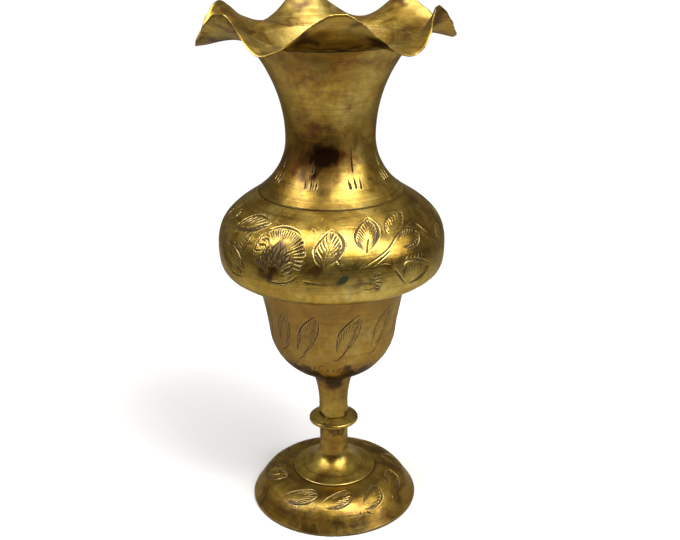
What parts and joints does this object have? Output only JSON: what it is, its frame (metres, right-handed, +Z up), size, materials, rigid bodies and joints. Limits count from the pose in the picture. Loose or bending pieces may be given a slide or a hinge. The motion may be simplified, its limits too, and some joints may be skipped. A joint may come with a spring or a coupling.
{
  "type": "flower vase",
  "caption": "Footed brass flower vase with a ruffled lip, trumpet neck, engraved belly and cup, slender collared stem and domed foot.",
  "frame": {"origin": "centre of the foot's resting face", "axes": "+Z up along the vase's axis, -Y the front, +X to the right seen from the front"},
  "size_m": [0.1127, 0.1097, 0.2454],
  "materials": {
    "aged_brass": "aged, unlacquered, worn satin with dark patina in the cuts",
    "steel_hardware": "dull plated steel with light rust"
  },
  "bodies": {
    "root": {"fluted_lip": "aged_brass", "neck": "aged_brass", "belly": "aged_brass", "cup": "aged_brass", "stem_upper": "aged_brass", "collar": "aged_brass", "stem_lower": "aged_brass", "foot_dome": "aged_brass", "tie_stud": "steel_hardware", "washer": "steel_hardware", "nut": "steel_hardware"}
  },
  "joints": []
}
